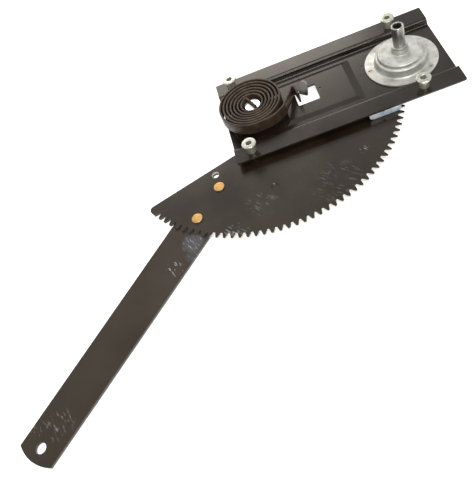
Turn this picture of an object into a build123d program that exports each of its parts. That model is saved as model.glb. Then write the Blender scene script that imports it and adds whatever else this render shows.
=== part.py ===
from build123d import *
from math import acos, atan2, cos, degrees, hypot, pi, radians, sin, sqrt, tan
import os

# Crank-driven window regulator: a hat-channel base, a spring-clutch hub with its crank spindle, a
# toothed sector with a long lift arm, and a flat counter spring round the sector's pivot.
# Millimetres.  +X runs along the base from the sector's pivot to the crank hub and +Z points to
# the door's inner panel.  The origin is the centre of the four weld nuts, on their mounting plane.

# ---- Mounting ----------------------------------------------------------------------------------
NUT_PITCH_X = 179.0          # between the nut rows, along the base
NUT_PITCH_Y = 102.6          # across the base
PIVOT_INSET = 15.45          # sector pivot, inboard of the left-hand nuts
STANDOFF = 11.6              # mounting plane above the side flanges

# ---- Gear pair ---------------------------------------------------------------------------------
MODULE = 2.5
PRESSURE_ANGLE = 20.0
SECTOR_FULL_TEETH = 120      # teeth that a full circle would have
SECTOR_TEETH = 51            # teeth that are cut
PINION_TEETH = 7
BACKLASH = 0.2               # taken off each tooth's thickness on the pitch circle
TOP_CLEARANCE = 0.6          # tooth tip to the other gear's root
UNDERCUT = 0.28              # relief of the pinion's flank below its base circle, each side
ROOT_ROUND = 0.5             # depth of the rounded root between two teeth

# ---- Base channel ------------------------------------------------------------------------------
BASE_SHEET = 2.0
BASE_WIDTH = 124.0           # over both side flanges
BASE_LEFT = 33.0             # from the pivot to the left end
BASE_RIGHT = 43.2            # from the hub axis to the right end
CHANNEL_DEPTH = 6.2          # flange top down to floor top
CHANNEL_WIDTH = 81.0         # mouth of the channel, between the flanges' bends
WALL_LEAN = 2.0              # each wall leans in by this towards the floor
BASE_BEND = 1.6              # inside radius of the two bends in each wall
BASE_CORNER = 1.5            # radius on the four outer corners
PANEL_LEFT = 31.5            # raised panel, from the pivot to its left top edge
PANEL_LENGTH = 71.0
PANEL_WIDTH = 52.0
PANEL_RISE = 1.5
PANEL_SLOPE = 5.0            # width of the slope round the raised panel
PANEL_END_SLOPE = 8.0        # and at its end next to the hub
WINDOW_LEFT = 45.0           # window, from the pivot to its left edge
WINDOW_LENGTH = 23.4
WINDOW_NEAR = -10.2          # window's edge towards -Y
WINDOW_FAR = 13.4
WINDOW_CORNER = 1.5
TAB_SPOT = (50.3, 8.8)       # left end of the spring tab, from the pivot
TAB_DIRECTION = -45.0        # its bend line in the XY plane, square to the spring's pull
TAB_WIDTH = 9.5
TAB_LENGTH = 15.5            # along the tab, from the bend
TAB_LEAN = 18.0              # degrees, top away from the coil
TAB_CORNER = 4.4
TONGUE_WIDTH = 8.0           # floor tongue that carries the tab, at the window's far edge
LOCATOR_RADIUS = 1.3         # small locating holes in the floor
LOCATOR_SPOTS = ((121.2, 13.9), (72.1, 4.3))

# ---- Spacer nuts -------------------------------------------------------------------------------
NUT_HEAD_RADIUS = 7.4
NUT_HEAD_HEIGHT = 2.4
NUT_BODY_RADIUS = 5.15
NUT_SPIGOT_RADIUS = 4.2      # rolled over under the flange
NUT_ROLL = 0.8               # height of the rolled edge
NUT_BORE_RADIUS = 2.5        # core of an M6 thread
NUT_COUNTERSINK = 0.25

# ---- Sector ------------------------------------------------------------------------------------
SECTOR_SHEET = 2.5
SECTOR_GAP = 1.0             # floor underside to sector top
FIRST_TOOTH = 0.5            # first tooth, in pitches past the line of centres
CHORD_DISTANCE = 28.9        # straight edge of the sector, from the pivot
CHORD_DIRECTION = 16.3       # its direction in the XY plane, degrees
SECTOR_HUB_RADIUS = 30.0
SECTOR_BLEND = 4.0           # radius between the straight edge and the hub lobe
SECTOR_CORNER = 3.0          # rounding where the straight edge meets the first tooth's root
SECTOR_NOSE_RADIUS = 5.0     # and where it meets the plain rim past the last tooth
LIGHTENING_RADIUS = 4.1     # tooling hole through sector and arm
LIGHTENING_SPOT = (-58.9, -56.8)
DIMPLE_RADIUS = 4.0
DIMPLE_DEPTH = 1.0
DIMPLE_SPOT = (-4.3, -98.3)

# ---- Lift arm ----------------------------------------------------------------------------------
ARM_SHEET = 3.0
ARM_SIDESTEP = 10.8          # centreline, from the pivot
ARM_DIRECTION = -134.45      # degrees in the XY plane
ARM_LENGTH = 384.4           # from the foot of the pivot's perpendicular to the end hole
ARM_ROOT_WIDTH = 44.3
ARM_TIP_WIDTH = 40.2
ARM_TIP_REACH = 12.7         # end of the arm past the end hole
ARM_TIP_RADIUS = 42.0        # the end's curve
ARM_TIP_CORNER = 1.0
ARM_ROOT_CORNER = 11.0
ARM_HOLE_RADIUS = 5.0
ARM_ROOT_REACH = 23.0        # inner end past the foot of the pivot's perpendicular
RIVET_STATIONS = (94.0, 135.1)
RIVET_HEAD_RADIUS = 5.7
RIVET_HEAD_HEIGHT = 1.6
RIVET_SHANK_RADIUS = 4.0
RIVET_TAIL_HEIGHT = 1.4
RIVET_DOME = 0.7             # rounding of the head's rim
FIT = 0.05                   # radial clearance of a shank, spigot or journal in its hole

# ---- Pivot -------------------------------------------------------------------------------------
POST_RADIUS = 8.75
POST_HEIGHT = 9.0            # stands this far above the spring's seat
POST_COLLAR_RADIUS = 13.0
POST_NECK_RADIUS = 8.0
POST_TAIL_RADIUS = 6.0
POST_ROLL_RADIUS = 8.0
POST_ROLL_HEIGHT = 1.5
SLOT_DIRECTION = 113.0       # degrees in the XY plane
SLOT_CLEARANCE = 0.35
BUSH_WALL = 1.8
BUSH_FLANGE_RADIUS = 13.0
BUSH_FLANGE_HEIGHT = 1.2
RUNNING_GAP = 0.3            # between faces that turn past each other
WASHER_RADIUS = 18.0
STAKING_WASHER_RADIUS = 11.0
STAKING_WASHER_SHEET = 1.2

# ---- Counter spring ----------------------------------------------------------------------------
SPRING_STRIP = 1.9
SPRING_WIDTH = 12.7
SPRING_ABOVE_FLANGE = 2.0    # lower edge of the strip above the side flanges
COIL_INNER_RADIUS = 10.2     # centreline of the strip at the coil's start
COIL_OUTER_RADIUS = 34.3     # and where it leaves the coil
COIL_FROM = 145.0            # direction of the coil's start, degrees
COIL_TO = 2436.0             # winding angle where the strip leaves, 6.4 turns on
COIL_SHIFT_X = -0.9          # centre of the turns, from the pivot
COIL_SHIFT_Y = (-1.0, 2.6)   # of the innermost and the outermost turn
COIL_STEP = 30               # degrees between the spiral's points
TANG_BEND = 1.5              # centreline radius where the tang runs into the coil
SPRING_KNEES = ((18.1, -29.9), (30.4, -20.9))   # bends of the free run, from the pivot
KNEE_RADII = (30.0, 7.0)
HAIRPIN_SPOT = (46.2, 6.0)   # corner of the hairpin beside the tab
HAIRPIN_BEND = 1.9           # centreline radius
HAIRPIN_END = (47.9, -13.0)  # end of its short leg

# ---- Hub ---------------------------------------------------------------------------------------
HUB_SHEET = 1.6
HUB_FLANGE_RADIUS = 37.0
HUB_LOWER_RADIUS = 29.3
HUB_UPPER_RADIUS = 23.8
HUB_LOWER_HEIGHT = 6.7       # lower step, above the base floor
HUB_HEIGHT = 14.5            # top plate, above the base floor
HUB_RIM_DROP = 1.2           # rim below the top plate
HUB_RIM_WIDTH = 3.0
HUB_BEND = 0.9
BOSS_RADIUS = 8.8
BOSS_HEIGHT = 6.4
HUB_RIVET_DISTANCE = 32.8
HUB_RIVET_ANGLES = (180.0, -46.0, 39.0)
HUB_RIVET_RADIUS = 2.4

# ---- Crank spindle -----------------------------------------------------------------------------
SPINDLE_RADIUS = 6.25
SPINDLE_BORE_RADIUS = 4.4
SPINDLE_ABOVE_MOUNTING = 27.2
SPINDLE_CHAMFER = 0.6
RETAINER_GROOVE_RADIUS = 5.5
RETAINER_RADIUS = 8.0
RETAINER_SHEET = 1.0
THRUST_WASHER_RADIUS = 12.0
THRUST_WASHER_SHEET = 0.8
DRIVER_RADIUS = 17.0
DRIVER_SHEET = 2.2
DRIVER_NOTCH = 9.0           # half angle of each notch, degrees

# ---- Brake -------------------------------------------------------------------------------------
DRUM_WALL = 1.5
DRUM_FLANGE_RADIUS = 27.0
DRUM_FLANGE_SHEET = 1.2
DRUM_GAP = 0.3
BRAKE_WIRE = 2.0
BRAKE_TURNS = 2.5
CARRIER_RADIUS = 17.0
CARRIER_SHEET = 2.0
LUG_RADIAL = 3.0
LUG_ANGLE = 12.0             # half angle of each lug, degrees

# ---- Pinion ------------------------------------------------------------------------------------
PINION_NECK_RADIUS = 10.0
PINION_OVERHANG = 0.7        # teeth past the sector's upper face
PINION_UNDERHANG = 1.0       # teeth past the sector's lower face
PINION_SPIGOT_RADIUS = 5.0
BRACKET_SHEET = 2.0
BRACKET_WIDTH = 26.0
BRACKET_NOSE = 13.0          # rounded end of the strap, radius
BRACKET_FOOT_REACH = 30.5    # outer end of the feet, from the hub axis
BRACKET_FOOT_LENGTH = 13.0
BRACKET_FOOT_WIDTH = 58.0
PINION_BUSH_WALL = 1.2

# ---- Sector guide ------------------------------------------------------------------------------
GUIDE_SHEET = 1.6
GUIDE_LEFT = 104.4           # from the pivot
GUIDE_LENGTH = 32.2
GUIDE_INSET = 0.5            # outer face, inside the side flange's edge
GUIDE_LIFT = 0.4             # foot above the sector
GUIDE_WALL_GAP = 5.0         # from its top's inner edge to the channel's mouth
GUIDE_FOOT_WIDTH = 7.0
GUIDE_CORNER = 4.0
GUIDE_NOTCH_WIDTH = 3.0
GUIDE_NOTCH_SPOT = 118.5     # from the pivot
GUIDE_NOTCH_DEPTH = 2.6

# ---- Places worked out from the dimensions above -------------------------------------------------
CENTRE_DISTANCE = MODULE * (SECTOR_FULL_TEETH + PINION_TEETH) / 2
PIVOT_X = -NUT_PITCH_X / 2 + PIVOT_INSET
HUB_X = PIVOT_X + CENTRE_DISTANCE

FLANGE_TOP = -STANDOFF
FLANGE_UNDERSIDE = FLANGE_TOP - BASE_SHEET
FLOOR_TOP = FLANGE_TOP - CHANNEL_DEPTH
FLOOR_UNDERSIDE = FLOOR_TOP - BASE_SHEET
SECTOR_TOP = FLOOR_UNDERSIDE - SECTOR_GAP
SECTOR_UNDERSIDE = SECTOR_TOP - SECTOR_SHEET
ARM_UNDERSIDE = SECTOR_UNDERSIDE - ARM_SHEET
SPRING_BOTTOM = FLANGE_TOP + SPRING_ABOVE_FLANGE
SPRING_TOP = SPRING_BOTTOM + SPRING_WIDTH
SPRING_SEAT = SPRING_BOTTOM - RUNNING_GAP
HUB_TOP = FLOOR_TOP + HUB_HEIGHT
BOSS_TOP = HUB_TOP + BOSS_HEIGHT
LOWER_STEP_TOP = FLOOR_TOP + HUB_LOWER_HEIGHT

PITCH_RADIUS = MODULE * SECTOR_FULL_TEETH / 2
SECTOR_TIP_RADIUS = PITCH_RADIUS + MODULE
PINION_PITCH_RADIUS = MODULE * PINION_TEETH / 2
PINION_TIP_RADIUS = PINION_PITCH_RADIUS + MODULE
SECTOR_ROOT_RADIUS = CENTRE_DISTANCE - PINION_TIP_RADIUS - TOP_CLEARANCE
PINION_ROOT_RADIUS = CENTRE_DISTANCE - SECTOR_TIP_RADIUS - TOP_CLEARANCE
TOOTH_STEP = 360 / SECTOR_FULL_TEETH

PIVOT = (PIVOT_X, 0)
HUB = (HUB_X, 0)


# ---- Helpers -----------------------------------------------------------------------------------
def disc(centre, radius, bottom, top):
    """Upright cylinder between two heights."""
    place = Pos(centre[0], centre[1], bottom)
    return place * Cylinder(radius, top - bottom, align=(Align.CENTER, Align.CENTER, Align.MIN))


def ring(centre, outer, inner, bottom, top):
    """Upright tube between two heights."""
    return disc(centre, outer, bottom, top) - disc(centre, inner, bottom, top)


def block(low, high):
    """Box between two corners."""
    size = [b - a for a, b in zip(low, high)]
    return Pos(*low) * Box(*size, align=(Align.MIN, Align.MIN, Align.MIN))


def plate(sketch, bottom, thickness):
    """Flat sketch made into a plate that stands on the height given."""
    return Pos(0, 0, bottom) * extrude(sketch, thickness)


def from_pivot(x, y):
    """A place given from the sector's pivot."""
    return (PIVOT_X + x, y)


def polar(centre, radius, angle):
    """A place given by radius and angle in degrees."""
    return (centre[0] + radius * cos(radians(angle)), centre[1] + radius * sin(radians(angle)))


# ---- Gear teeth ----------------------------------------------------------------------------------
def half_tooth_angle(teeth, radius):
    """Half a tooth's angle at a radius, in radians: an involute with its backlash taken off."""
    pitch_radius = MODULE * teeth / 2
    pressure = radians(PRESSURE_ANGLE)
    at_radius = acos(min(1, pitch_radius * cos(pressure) / radius))
    spread = (tan(pressure) - pressure) - (tan(at_radius) - at_radius)
    return pi / (2 * teeth) - BACKLASH / (2 * pitch_radius) + spread


def flank(teeth, inner, outer, axis_angle, side):
    """Three points up one flank of the tooth that points along axis_angle (degrees)."""
    points = []
    for share in (0, 0.5, 1):
        radius = inner + (outer - inner) * share
        angle = axis_angle + side * degrees(half_tooth_angle(teeth, radius))
        points.append(polar((0, 0), radius, angle))
    return points


def chord_end(side, radius):
    """Where the sector's straight edge meets a circle round the pivot, at its right (1) or left."""
    foot = polar((0, 0), CHORD_DISTANCE, CHORD_DIRECTION - 90)
    return polar(foot, side * sqrt(radius ** 2 - CHORD_DISTANCE ** 2), CHORD_DIRECTION)


def sector_outline():
    """Sector blank with its teeth, round the pivot at the sketch's origin."""
    first_angle = TOOTH_STEP * FIRST_TOOTH
    left_end = chord_end(-1, SECTOR_TIP_RADIUS)
    right_end = chord_end(1, PITCH_RADIUS)

    # Toothed rim, from the first tooth round to the last.
    foot_radius = SECTOR_ROOT_RADIUS + ROOT_ROUND
    edges = []
    start = None
    for index in range(SECTOR_TEETH):
        angle = first_angle - TOOTH_STEP * index
        rising = flank(SECTOR_FULL_TEETH, foot_radius, SECTOR_TIP_RADIUS, angle, 1)
        falling = flank(SECTOR_FULL_TEETH, foot_radius, SECTOR_TIP_RADIUS, angle, -1)[::-1]
        if start:
            root = polar((0, 0), SECTOR_ROOT_RADIUS, angle + TOOTH_STEP / 2)
            edges.append(ThreePointArc(start, root, rising[0]))
        else:
            first_root = rising[0]
        edges.append(ThreePointArc(*rising))
        if index < SECTOR_TEETH - 1:
            edges.append(Line(rising[-1], falling[0]))
            edges.append(ThreePointArc(*falling))
            start = falling[-1]

    # The last tooth runs on as the plain rim; then comes the straight edge.
    rim = polar((0, 0), SECTOR_TIP_RADIUS, angle - TOOTH_STEP / 2)
    edges.append(ThreePointArc(rising[-1], rim, left_end))
    edges.append(Line(left_end, right_end))
    edges.append(Line(right_end, first_root))
    blank = make_face(edges)

    # Hub lobe round the pivot, run into the straight edge by two fillets.
    lobe = Circle(SECTOR_HUB_RADIUS)
    return blank + lobe


def sector_gear():
    """Stamped toothed sector with its pivot hole, rivet holes, tooling hole and dimple."""
    outline = sector_outline()
    heel = outline.vertices().sort_by_distance((*chord_end(1, PITCH_RADIUS), 0))[0]
    outline = fillet(heel, SECTOR_CORNER)
    nose = outline.vertices().sort_by_distance((*chord_end(-1, SECTOR_TIP_RADIUS), 0))[0]
    outline = fillet(nose, SECTOR_NOSE_RADIUS)
    outline = fillet(lobe_corners(outline), SECTOR_BLEND)
    body = Pos(*PIVOT, 0) * plate(outline, SECTOR_UNDERSIDE, SECTOR_SHEET)
    body -= disc(PIVOT, POST_TAIL_RADIUS + FIT, SECTOR_UNDERSIDE, SECTOR_TOP)
    for spot in arm_rivet_spots():
        body -= disc(spot, RIVET_SHANK_RADIUS + FIT, SECTOR_UNDERSIDE, SECTOR_TOP)
    body -= disc(from_pivot(*LIGHTENING_SPOT), LIGHTENING_RADIUS, SECTOR_UNDERSIDE, SECTOR_TOP)
    dimple = from_pivot(*DIMPLE_SPOT)
    cup = Cone(DIMPLE_RADIUS, DIMPLE_RADIUS - DIMPLE_DEPTH, DIMPLE_DEPTH,
               align=(Align.CENTER, Align.CENTER, Align.MIN))
    body -= Pos(*dimple, SECTOR_TOP) * Rot(180, 0, 0) * cup
    body += Pos(*dimple, SECTOR_UNDERSIDE) * Rot(180, 0, 0) * cup
    return body


def lobe_corners(outline):
    """The two inner corners where the hub lobe meets the straight edge."""
    return [v for v in outline.vertices() if abs(hypot(v.X, v.Y) - SECTOR_HUB_RADIUS) < 0.01]


# ---- Lift arm --------------------------------------------------------------------------------------
def arm_frame():
    """Arm's own frame: origin at the foot of the pivot's perpendicular, +X towards the end hole."""
    foot = polar(PIVOT, ARM_SIDESTEP, ARM_DIRECTION + 90)
    return Pos(*foot, 0) * Rot(0, 0, ARM_DIRECTION)


def arm_point(station, aside=0):
    """A place on the arm, by its distance along and beside the centreline."""
    spot = (arm_frame() * Pos(station, aside, 0)).position
    return (spot.X, spot.Y)


def arm_rivet_spots():
    """Centres of the rivets that join arm and sector."""
    return [arm_point(station) for station in RIVET_STATIONS]


def lift_arm():
    """Flat tapered arm under the sector, rounded at the root and curved across its end."""
    tip = ARM_LENGTH + ARM_TIP_REACH
    tip_half = ARM_TIP_WIDTH / 2
    root_half = ARM_ROOT_WIDTH / 2
    shoulder = tip - ARM_TIP_RADIUS + sqrt(ARM_TIP_RADIUS ** 2 - tip_half ** 2)
    sides = Polyline((shoulder, tip_half), (RIVET_STATIONS[-1], root_half),
                     (-ARM_ROOT_REACH, root_half), (-ARM_ROOT_REACH, -root_half),
                     (RIVET_STATIONS[-1], -root_half), (shoulder, -tip_half))
    end = ThreePointArc((shoulder, -tip_half), (tip, 0), (shoulder, tip_half))
    outline = make_face([*sides.edges(), end])
    tip_corners = [v for v in outline.vertices() if v.X > ARM_LENGTH]
    outline = fillet(tip_corners, ARM_TIP_CORNER)
    root_corners = [v for v in outline.vertices() if v.X < -ARM_ROOT_REACH / 2]
    outline = fillet(root_corners, ARM_ROOT_CORNER)
    body = arm_frame() * plate(outline, ARM_UNDERSIDE, ARM_SHEET)
    body -= disc(arm_point(ARM_LENGTH), ARM_HOLE_RADIUS, ARM_UNDERSIDE, SECTOR_UNDERSIDE)
    body -= disc(PIVOT, POST_TAIL_RADIUS + FIT, ARM_UNDERSIDE, SECTOR_UNDERSIDE)
    for spot in arm_rivet_spots():
        body -= disc(spot, RIVET_SHANK_RADIUS + FIT, ARM_UNDERSIDE, SECTOR_UNDERSIDE)
    spot = from_pivot(*LIGHTENING_SPOT)
    return body - disc(spot, LIGHTENING_RADIUS, ARM_UNDERSIDE, SECTOR_UNDERSIDE)


def arm_rivets():
    """Two headed rivets, closed under the arm."""
    solids = []
    for spot in arm_rivet_spots():
        head = disc(spot, RIVET_HEAD_RADIUS, SECTOR_TOP, SECTOR_TOP + RIVET_HEAD_HEIGHT)
        head = fillet(head.edges().group_by(Axis.Z)[-1], RIVET_DOME)
        shank = disc(spot, RIVET_SHANK_RADIUS, ARM_UNDERSIDE, SECTOR_TOP)
        tail = disc(spot, RIVET_HEAD_RADIUS, ARM_UNDERSIDE - RIVET_TAIL_HEIGHT, ARM_UNDERSIDE)
        tail = fillet(tail.edges().group_by(Axis.Z)[0], RIVET_DOME)
        solids.append(head + shank + tail)
    return Compound(children=solids)


# ---- Base ------------------------------------------------------------------------------------------
def panel_form(shift):
    """Raised panel as a tapered block that stands on the floor, moved down by shift."""
    middle = from_pivot(PANEL_LEFT + PANEL_LENGTH / 2, 0)
    foot_length = PANEL_LENGTH + PANEL_SLOPE + PANEL_END_SLOPE
    foot_middle = (middle[0] + (PANEL_END_SLOPE - PANEL_SLOPE) / 2, middle[1])
    low = Pos(*foot_middle, FLOOR_TOP - shift) * Rectangle(foot_length,
                                                           PANEL_WIDTH + 2 * PANEL_SLOPE)
    high = Pos(*middle, FLOOR_TOP + PANEL_RISE - shift) * Rectangle(PANEL_LENGTH, PANEL_WIDTH)
    return loft([low, high])


def tab_frame():
    """Spring tab's frame: origin at the left end of its bend line, +X along it."""
    return Pos(*from_pivot(*TAB_SPOT), 0) * Rot(0, 0, TAB_DIRECTION)


def tab_point(along, behind):
    """A place given along the tab and behind its front face."""
    spot = (tab_frame() * Pos(along, behind, 0)).position
    return (spot.X, spot.Y)


def base_plate():
    """Pressed hat channel with its raised panel, window, spring tab and holes."""
    half_sheet = BASE_SHEET / 2
    edge = BASE_WIDTH / 2
    mouth = CHANNEL_WIDTH / 2 + half_sheet
    foot = mouth - WALL_LEAN
    flange_z = FLANGE_TOP - half_sheet
    floor_z = FLOOR_TOP - half_sheet
    middle_line = FilletPolyline((-edge, flange_z), (-mouth, flange_z), (-foot, floor_z),
                                 (foot, floor_z), (mouth, flange_z), (edge, flange_z),
                                 radius=BASE_BEND + half_sheet)
    section = Plane.YZ * trace(middle_line, BASE_SHEET)
    left = PIVOT_X - BASE_LEFT
    length = BASE_LEFT + CENTRE_DISTANCE + BASE_RIGHT
    body = Pos(left, 0, 0) * extrude(section, length, dir=(1, 0, 0))
    corners = body.edges().filter_by(Axis.Z).group_by(Axis.Y)
    body = fillet(corners[0] + corners[-1], BASE_CORNER)
    body += panel_form(0)
    body -= panel_form(BASE_SHEET)

    window_low = from_pivot(WINDOW_LEFT, WINDOW_NEAR)
    window_high = from_pivot(WINDOW_LEFT + WINDOW_LENGTH, WINDOW_FAR)
    opening = block((*window_low, FLOOR_UNDERSIDE), (*window_high, FLANGE_TOP))
    opening = fillet(opening.edges().filter_by(Axis.Z), WINDOW_CORNER)
    tab_left = tab_point(0, 0)
    tab_right = tab_point(TAB_WIDTH, 0)
    tongue = make_face(Polyline(tab_left, tab_right, (tab_left[0] + TONGUE_WIDTH, window_high[1]),
                                (tab_left[0], window_high[1]), close=True))
    body -= opening - plate(tongue, FLOOR_UNDERSIDE, CHANNEL_DEPTH)
    tab = block((0, 0, 0), (TAB_WIDTH, BASE_SHEET, TAB_LENGTH))
    tab = fillet(tab.edges().filter_by(Axis.Y).group_by(Axis.Z)[-1], TAB_CORNER)
    bend = tab_frame() * Pos(0, 0, FLOOR_TOP + PANEL_RISE - BASE_SHEET)
    body += bend * Rot(-TAB_LEAN, 0, 0) * tab

    for spot in nut_spots():
        body -= disc(spot, NUT_SPIGOT_RADIUS + FIT, FLANGE_UNDERSIDE, FLANGE_TOP)
    for spot in LOCATOR_SPOTS:
        body -= disc(from_pivot(*spot), LOCATOR_RADIUS, FLOOR_UNDERSIDE, FLANGE_TOP)
    for spot in hub_rivet_spots():
        body -= disc(spot, HUB_RIVET_RADIUS + FIT, FLOOR_UNDERSIDE, FLOOR_TOP)
    bush_outer = POST_NECK_RADIUS + FIT + BUSH_WALL
    body -= disc(PIVOT, bush_outer, FLOOR_UNDERSIDE, FLOOR_TOP)
    return body - disc(HUB, PINION_NECK_RADIUS + FIT, FLOOR_UNDERSIDE, FLOOR_TOP)


def nut_spots():
    """Centres of the four weld nuts."""
    return [(x * NUT_PITCH_X / 2, y * NUT_PITCH_Y / 2) for x in (-1, 1) for y in (-1, 1)]


def spacer_nuts():
    """Four headed weld nuts: broad head, round body, and a spigot rolled over under the flange."""
    solids = []
    for spot in nut_spots():
        head = disc(spot, NUT_HEAD_RADIUS, -NUT_HEAD_HEIGHT, 0)
        head = fillet(head.edges().filter_by(GeomType.CIRCLE), RIVET_DOME)
        nut = head + disc(spot, NUT_BODY_RADIUS, FLANGE_TOP, -NUT_HEAD_HEIGHT)
        nut += disc(spot, NUT_SPIGOT_RADIUS, FLANGE_UNDERSIDE - NUT_ROLL, FLANGE_TOP)
        nut += disc(spot, NUT_BODY_RADIUS, FLANGE_UNDERSIDE - NUT_ROLL, FLANGE_UNDERSIDE)
        nut -= disc(spot, NUT_BORE_RADIUS, FLANGE_UNDERSIDE - NUT_ROLL, 0)
        mouth = Cone(NUT_BORE_RADIUS, NUT_BORE_RADIUS + NUT_COUNTERSINK, NUT_COUNTERSINK,
                     align=(Align.CENTER, Align.CENTER, Align.MAX))
        solids.append(nut - Pos(*spot, 0) * mouth)
    return Compound(children=solids)


def sector_guide():
    """Plated bracket under the near flange; its foot runs just above the sector."""
    left = PIVOT_X + GUIDE_LEFT
    right = left + GUIDE_LENGTH
    face = -BASE_WIDTH / 2 + GUIDE_INSET
    top_edge = -CHANNEL_WIDTH / 2 - GUIDE_WALL_GAP
    foot_bottom = SECTOR_TOP + GUIDE_LIFT
    wall = block((left, face, foot_bottom), (right, face + GUIDE_SHEET, FLANGE_UNDERSIDE))
    wall = fillet(wall.edges().filter_by(Axis.Y).group_by(Axis.Z)[0], GUIDE_CORNER)
    top = block((left, face, FLANGE_UNDERSIDE - GUIDE_SHEET),
                (right, top_edge, FLANGE_UNDERSIDE))
    foot = block((left + GUIDE_CORNER, face, foot_bottom),
                 (right - GUIDE_CORNER, face + GUIDE_FOOT_WIDTH, foot_bottom + GUIDE_SHEET))
    notch_x = PIVOT_X + GUIDE_NOTCH_SPOT
    notch = block((notch_x - GUIDE_NOTCH_WIDTH / 2, face, FLANGE_UNDERSIDE - GUIDE_NOTCH_DEPTH),
                  (notch_x + GUIDE_NOTCH_WIDTH / 2, face + GUIDE_SHEET, FLANGE_UNDERSIDE))
    return wall + top + foot - notch


# ---- Hub -------------------------------------------------------------------------------------------
def hub_rivet_spots():
    """Centres of the rivets through the hub's flange."""
    return [polar(HUB, HUB_RIVET_DISTANCE, angle) for angle in HUB_RIVET_ANGLES]


def hub_housing():
    """Drawn two-step cover with a flange, a grooved rim and a boss for the spindle's bush."""
    half = HUB_SHEET / 2
    middle_line = FilletPolyline(
        (HUB_FLANGE_RADIUS, FLOOR_TOP + half),
        (HUB_LOWER_RADIUS - half, FLOOR_TOP + half),
        (HUB_LOWER_RADIUS - half, LOWER_STEP_TOP - half),
        (HUB_UPPER_RADIUS - half, LOWER_STEP_TOP - half),
        (HUB_UPPER_RADIUS - half, HUB_TOP - HUB_RIM_DROP - half),
        (HUB_UPPER_RADIUS - HUB_RIM_WIDTH, HUB_TOP - HUB_RIM_DROP - half),
        (HUB_UPPER_RADIUS - HUB_RIM_WIDTH - HUB_RIM_DROP, HUB_TOP - half),
        (BOSS_RADIUS - half, HUB_TOP - half),
        (BOSS_RADIUS - half, BOSS_TOP),
        radius=[HUB_BEND + half] * 4 + [HUB_BEND / 2] * 2 + [HUB_BEND + half])
    section = Plane.XZ * trace(middle_line, HUB_SHEET)
    shell = Pos(*HUB, 0) * revolve(section, Axis.Z)
    for spot in hub_rivet_spots():
        shell -= disc(spot, HUB_RIVET_RADIUS + FIT, FLOOR_TOP, FLOOR_TOP + HUB_SHEET)
    return shell


def housing_rivets():
    """Flush rivets: one through flange and floor, two through the bracket's feet as well."""
    solids = []
    top = FLOOR_TOP + HUB_SHEET
    for spot in hub_rivet_spots():
        on_foot = spot[0] > HUB_X
        bottom = FLOOR_UNDERSIDE - (BRACKET_SHEET if on_foot else 0)
        solids.append(disc(spot, HUB_RIVET_RADIUS, bottom, top))
    return Compound(children=solids)


# ---- Crank spindle and its brake -------------------------------------------------------------------
THRUST_TOP = HUB_TOP - HUB_SHEET - RUNNING_GAP
THRUST_BOTTOM = THRUST_TOP - THRUST_WASHER_SHEET
DRIVER_BOTTOM = THRUST_BOTTOM - DRIVER_SHEET
DRUM_OUTER_RADIUS = HUB_UPPER_RADIUS - HUB_SHEET - DRUM_GAP
DRUM_INNER_RADIUS = DRUM_OUTER_RADIUS - DRUM_WALL
BRAKE_OUTER_RADIUS = DRUM_INNER_RADIUS - DRUM_GAP
BRAKE_MIDDLE_RADIUS = BRAKE_OUTER_RADIUS - BRAKE_WIRE / 2
CARRIER_BOTTOM = FLOOR_TOP + DRUM_FLANGE_SHEET + RUNNING_GAP
CARRIER_TOP = CARRIER_BOTTOM + CARRIER_SHEET


def crank_spindle():
    """Hollow spindle with a snap-ring groove above the boss."""
    top = SPINDLE_ABOVE_MOUNTING
    body = disc(HUB, SPINDLE_RADIUS, CARRIER_TOP + RUNNING_GAP, top)
    body = chamfer(body.edges().group_by(Axis.Z)[-1], SPINDLE_CHAMFER)
    body -= disc(HUB, SPINDLE_BORE_RADIUS, DRIVER_BOTTOM, top)
    groove_bottom = BOSS_TOP + RUNNING_GAP / 2
    return body - ring(HUB, SPINDLE_RADIUS, RETAINER_GROOVE_RADIUS, groove_bottom,
                       groove_bottom + RETAINER_SHEET)


def retaining_ring():
    """Snap ring in the spindle's groove."""
    bottom = BOSS_TOP + RUNNING_GAP / 2
    return ring(HUB, RETAINER_RADIUS, RETAINER_GROOVE_RADIUS + FIT, bottom, bottom + RETAINER_SHEET)


def spindle_bush():
    """Plain bush pressed into the boss."""
    return ring(HUB, BOSS_RADIUS - HUB_SHEET, SPINDLE_RADIUS + FIT, HUB_TOP - HUB_SHEET, BOSS_TOP)


def thrust_washer():
    """Washer between the driver and the housing's top."""
    return ring(HUB, THRUST_WASHER_RADIUS, SPINDLE_RADIUS + FIT, THRUST_BOTTOM, THRUST_TOP)


def lug_sectors(inner, outer, half_angle, bottom, top, directions):
    """Blocks between two radii, each half_angle wide to both sides of its direction."""
    wedges = []
    for direction in directions:
        rim = [polar((0, 0), outer, direction + turn) for turn in (-half_angle, 0, half_angle)]
        root = [polar((0, 0), inner, direction + turn) for turn in (half_angle, 0, -half_angle)]
        face = make_face([ThreePointArc(*rim), Line(rim[-1], root[0]),
                          ThreePointArc(*root), Line(root[-1], rim[0])])
        wedges.append(Pos(*HUB, 0) * plate(face, bottom, top - bottom))
    return wedges


def spindle_driver():
    """Disc fixed on the spindle; its two notches push the brake spring's ends."""
    body = ring(HUB, DRIVER_RADIUS, SPINDLE_RADIUS + FIT, DRIVER_BOTTOM, THRUST_BOTTOM)
    notch_root = DRIVER_RADIUS - LUG_RADIAL
    for notch in lug_sectors(notch_root, DRIVER_RADIUS + 1, DRIVER_NOTCH, DRIVER_BOTTOM,
                             THRUST_BOTTOM, (0, 180)):
        body -= notch
    return body


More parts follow.
